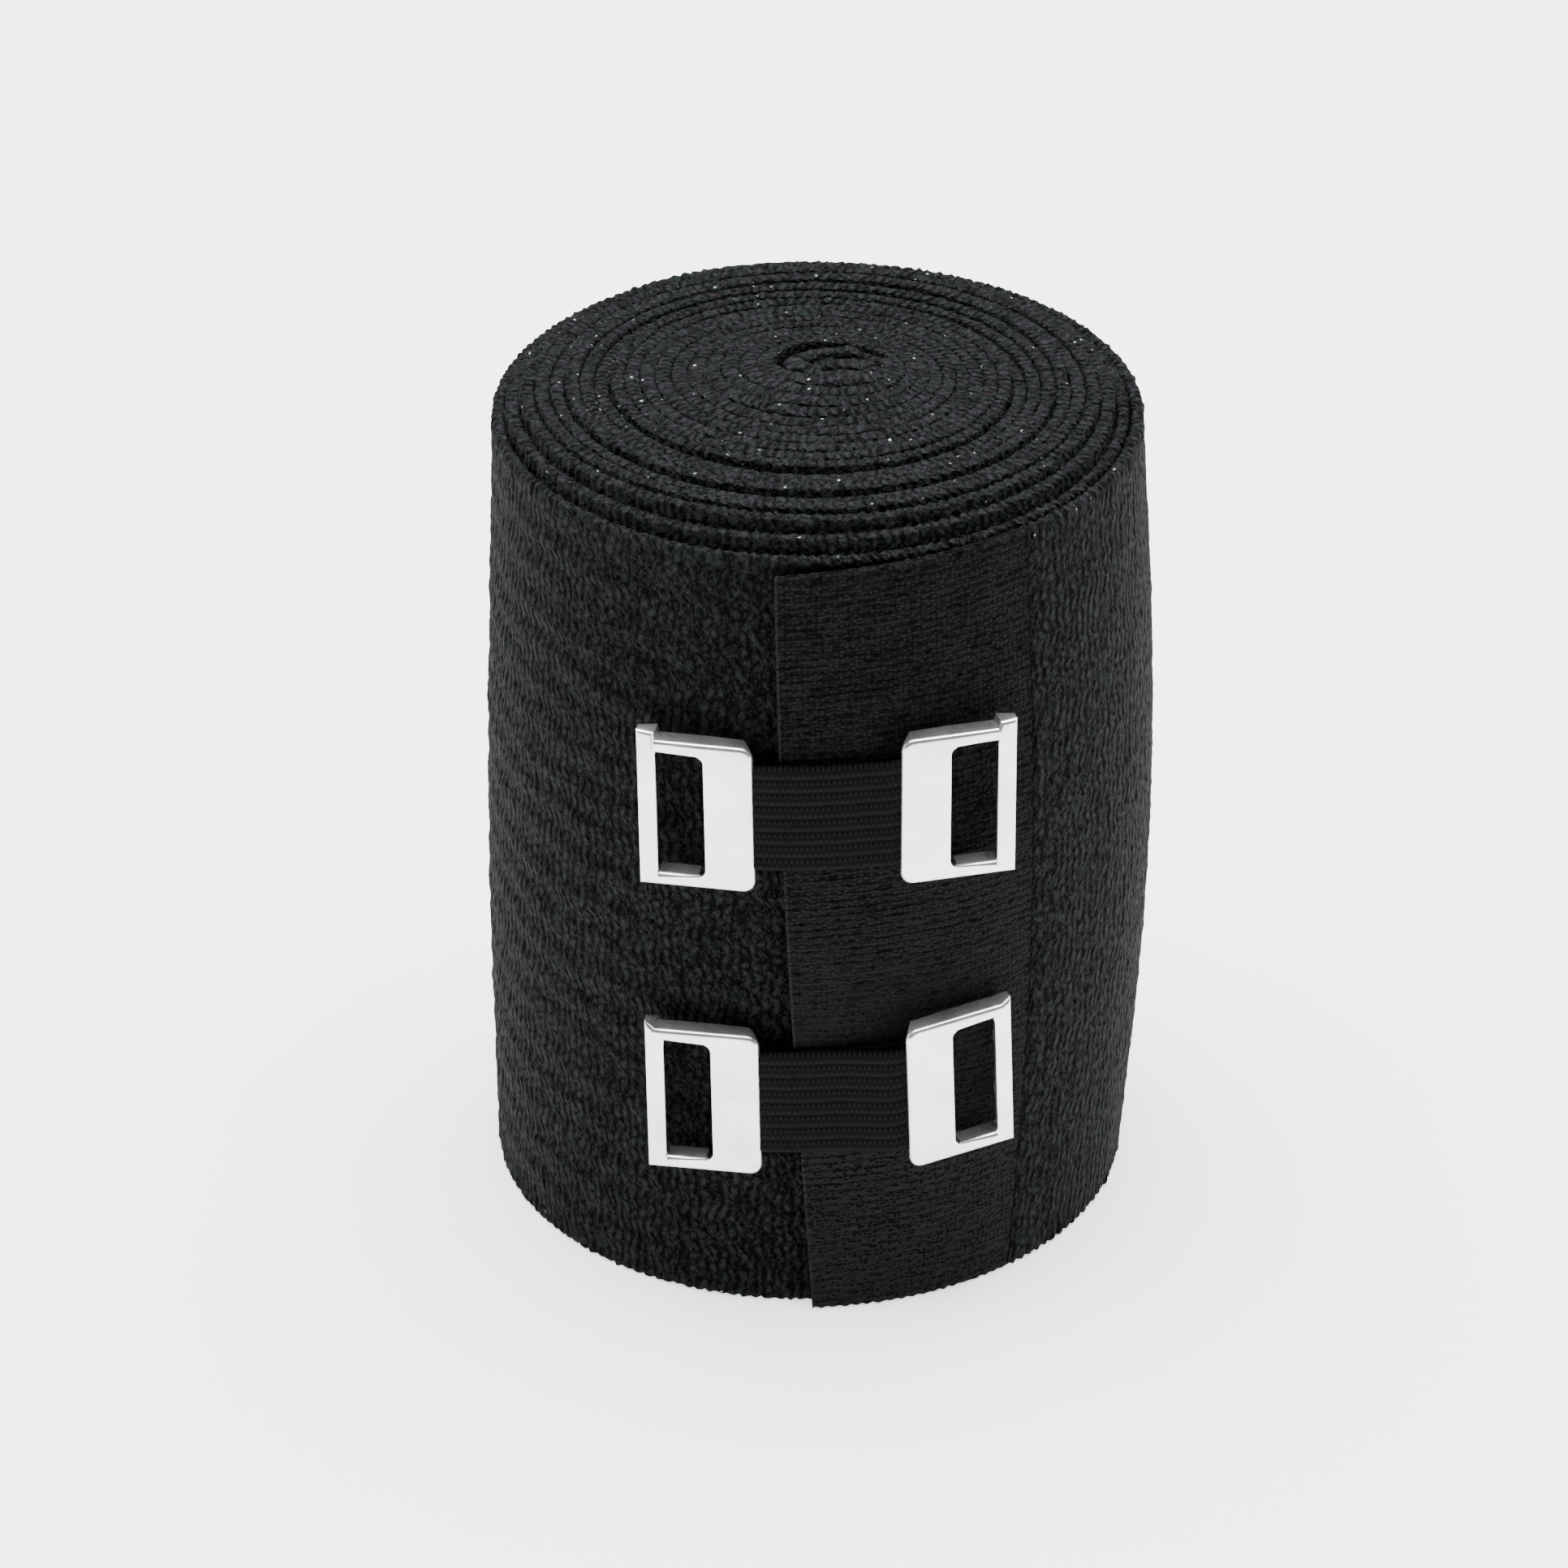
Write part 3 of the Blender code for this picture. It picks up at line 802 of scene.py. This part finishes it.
aluminium = aluminium_finish()
EARS = {
    "upper_left": (1.6, 0.95),
    "upper_right": (1.5, 0.8),
    "lower_left": (0.9, 0.8),
    "lower_right": (0.9, 0.6),
}
TEETH = {"upper_left": 3.4, "upper_right": 3.1, "lower_left": 3.4, "lower_right": 2.6}
for clip, left, right in CLIPS:
    for where, place, side in (("left", left, -1), ("right", right, 1)):
        hook = f"{clip}_{where}"
        frame_of_plate = hook_frame(place, side)
        shape_of_plate = (place[3], side, *EARS[hook], TEETH[hook])
        plate = stamped_plate(f"{hook}_hook", frame_of_plate, *shape_of_plate)
        plate.data.materials.append(aluminium)
        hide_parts(f"{hook}_plate")
        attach(plate, f"{hook}_hook")


# The clips' straps: flat black elastic braid with eight ribs along it. An end is clamped in each
# plate, and between the plates the strap climbs over the band's cut end.
STRAP = 0.8
STRAP_WIDTH = 10.4
STRAP_GRIP = 3.1
STRAP_EDGE = 0.35
CLAMP_GAP = 0.1
RIB = STRAP_WIDTH / 8
SPAN_STEPS = 40
GRIP_STEPS = 10


def strap_line(left_place, right_place):
    """The strap's middle line from inside the left plate to inside the right one."""
    left = hook_frame(left_place, -1)
    right = hook_frame(right_place, 1)
    deep = -(SHEET + CLAMP_GAP + STRAP / 2)
    start, end = left @ Vector((-0.4, 0, deep)), right @ Vector((-0.4, 0, deep))
    level = (start.z + end.z) / 2
    clear = outer_radius(END_ANGLE) + 0.35 + STRAP / 2
    span = []
    for i in range(SPAN_STEPS + 1):
        spot = start.lerp(end, i / SPAN_STEPS)
        flat = Vector((spot.x, spot.y, 0))
        flat = flat.normalized() * max(flat.length, clear)
        span.append(Vector((flat.x, flat.y, level + 0.35 * (spot.z - level))))
    grips = range(GRIP_STEPS)
    inside = [left @ Vector((STRAP_GRIP * (1 - i / GRIP_STEPS), 0, deep)) for i in grips]
    outside = [right @ Vector((STRAP_GRIP * (i + 1) / GRIP_STEPS, 0, deep)) for i in grips]
    line = inside + span + outside
    for _ in range(12):
        smoothed = [(a + b * 2 + c) / 4 for a, b, c in zip(line, line[1:], line[2:])]
        line = line[:1] + smoothed + line[-1:]
    return line


def strap_relief(along, up):
    rib = abs(math.sin(math.pi * up / RIB))
    return 0.07 * rib - 0.02 + 0.02 * noise.noise(Vector((along / 1.5, up, 6)))


def strap_profile():
    """Once round a strap's section, in rows like those of the wide strip."""
    rows = []
    for i in range(9):
        up = 0.4 + (STRAP_WIDTH - 0.8) * i / 8
        rows.append((-1, up, -1, 0, 0, up))
    for i in range(6):
        lean = math.pi * (1 - i / 5)
        up = STRAP_WIDTH - STRAP_EDGE * (1 - math.sin(lean))
        rows.append((math.cos(lean), up, math.cos(lean), math.sin(lean), 0.5, up))
    for i in range(72):
        up = STRAP_WIDTH - STRAP_EDGE - (STRAP_WIDTH - 2 * STRAP_EDGE) * (i + 1) / 73
        rows.append((1, up, 1, 0, 0, up))
    for i in range(6):
        lean = math.pi * i / 5
        up = STRAP_EDGE * (1 - math.sin(lean))
        rows.append((math.cos(lean), up, math.cos(lean), -math.sin(lean), 0.5, up))
    return rows


def strap_spot(line):
    """Places along a strap, at millimetres along it."""
    lengths = [0.0]
    for before, after in zip(line, line[1:]):
        lengths.append(lengths[-1] + (after - before).length)

    def spot(share, up):
        exact = share * (len(line) - 1)
        at = min(int(exact), len(line) - 2)
        place = line[at].lerp(line[at + 1], exact - at)
        way = line[min(at + 2, len(line) - 1)] - line[max(at - 1, 0)]
        away = Vector((way.y, -way.x, 0)).normalized()
        along = lengths[at] + (lengths[at + 1] - lengths[at]) * (exact - at)
        place.z += up - STRAP_WIDTH / 2
        return place, away, along

    return spot


def elastic_finish():
    braid = Finish("elastic braid", roughness=0.7, sheen_weight=0.005, sheen_roughness=0.4)
    braid.shader.inputs["Specular IOR Level"].default_value = 0.04
    along, up, _ = braid.cloth()
    across = up / RIB
    rib = 1 - across.wave()
    fine = (across * 2 + 0.25).wave()
    pick = (along / 0.46 + (across * 2).sum("ROUND", across * 2) * 0.5).wave()
    fuzz = braid.noise(braid.vector(along / 0.35, up / 0.3), 1.0, 2.0)
    height = rib * 0.35 + fine * 0.2 + pick * fine * 0.5 + fuzz * 0.25
    braid.bump(height, 0.00012)
    level = 0.08 + rib * 0.18 + pick * fine * 0.6 + fuzz * 0.3
    dark = (0.0004, 0.0004, 0.0004)
    middle = (0.0016, 0.0016, 0.0017)
    light = (0.0098, 0.0098, 0.0102)
    base = braid.shade(level, ((0.2, dark), (0.9, light), (0.5, middle)))
    braid.feed(braid.shader.inputs["Base Color"], base)
    return braid.material


elastic = elastic_finish()
# A strap is two pieces that meet here, because its stretch and its swing are at opposite ends.
MEETING_STEP = 18
for clip, left, right in CLIPS:
    whole = strap_line(left, right)
    for part, line_part, bodies in (
        ("right", whole[MEETING_STEP:], (f"{clip}_strap_span", f"{clip}_right_hook")),
        ("left", whole[: MEETING_STEP + 1], (f"{clip}_strap_span", f"{clip}_left_hook")),
    ):
        piece = edged_cloth(
            f"{clip}_strap_{part}_part",
            (len(line_part) - 1) * 2,
            strap_profile(),
            strap_spot(line_part),
            strap_relief,
            rope=0.0,
            thickness=STRAP,
            settle=Vector,
        )
        piece.data.materials.append(elastic)
        if part == "right":
            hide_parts(f"{clip}_strap", f"{clip}_strap_right_end")
            edge_at, inner_at = len(line_part) - 11, len(line_part) - 22
        else:
            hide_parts(f"{clip}_strap_left_end")
            edge_at, inner_at = 8, len(line_part) - 2
        ROLL_AXIS + line_part[inner_at] * MM
        ROLL_AXIS + line_part[edge_at] * MM
        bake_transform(piece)


# The floor, the light and the camera: a white table under soft light from all round.
floor_shape = bmesh.new()
bmesh.ops.create_grid(floor_shape, x_segments=1, y_segments=1, size=3.0)
floor_mesh = bpy.data.meshes.new("floor")
floor_shape.to_mesh(floor_mesh)
floor_shape.free()
floor = bpy.data.objects.new("floor", floor_mesh)
bpy.context.collection.objects.link(floor)
paper = Finish("white table", roughness=0.9)
paper.shader.inputs["Base Color"].default_value = (0.93, 0.93, 0.93, 1)
paper.shader.inputs["Emission Color"].default_value = (1, 1, 1, 1)
paper.shader.inputs["Emission Strength"].default_value = 1.3
floor_mesh.materials.append(paper.material)

world = bpy.data.worlds.new("studio")
bpy.context.scene.world = world
world.use_nodes = True
world.node_tree.nodes["Background"].inputs["Color"].default_value = (1, 1, 1, 1)
world.node_tree.nodes["Background"].inputs["Strength"].default_value = 0.15


def softbox(name, place, aim, width, power):
    light = bpy.data.lights.new(name, "AREA")
    light.shape = "SQUARE"
    light.size = width
    light.energy = power
    made = bpy.data.objects.new(name, light)
    made.location = place
    made.rotation_euler = (Vector(aim) - Vector(place)).to_track_quat("-Z", "Y").to_euler()
    bpy.context.collection.objects.link(made)


softbox("top", (0.0, 0.1, 0.7), (0, 0, 0.04), 0.6, 22.0)
softbox("left", (-0.6, 0.1, 0.3), (0, 0, 0.04), 0.4, 1.6)
softbox("right", (0.65, 0.15, 0.3), (0, 0, 0.04), 0.4, 1.4)

CAMERA_DISTANCE = 0.7
CAMERA_ELEVATION = math.radians(30)
CAMERA_ROLL = math.radians(-0.36)
aim = Vector((-3.19, 1.41, 36.43)) * MM
camera_data = bpy.data.cameras.new("camera")
camera_data.sensor_width = 36
camera_data.lens = 176.8
camera = bpy.data.objects.new("camera", camera_data)
back = Vector((0, -math.cos(CAMERA_ELEVATION), math.sin(CAMERA_ELEVATION)))
camera.location = aim + back * CAMERA_DISTANCE
turned = (-back).to_track_quat("-Z", "Y").to_matrix() @ Matrix.Rotation(CAMERA_ROLL, 3, "Z")
camera.rotation_euler = turned.to_euler()
bpy.context.collection.objects.link(camera)
bpy.context.scene.camera = camera
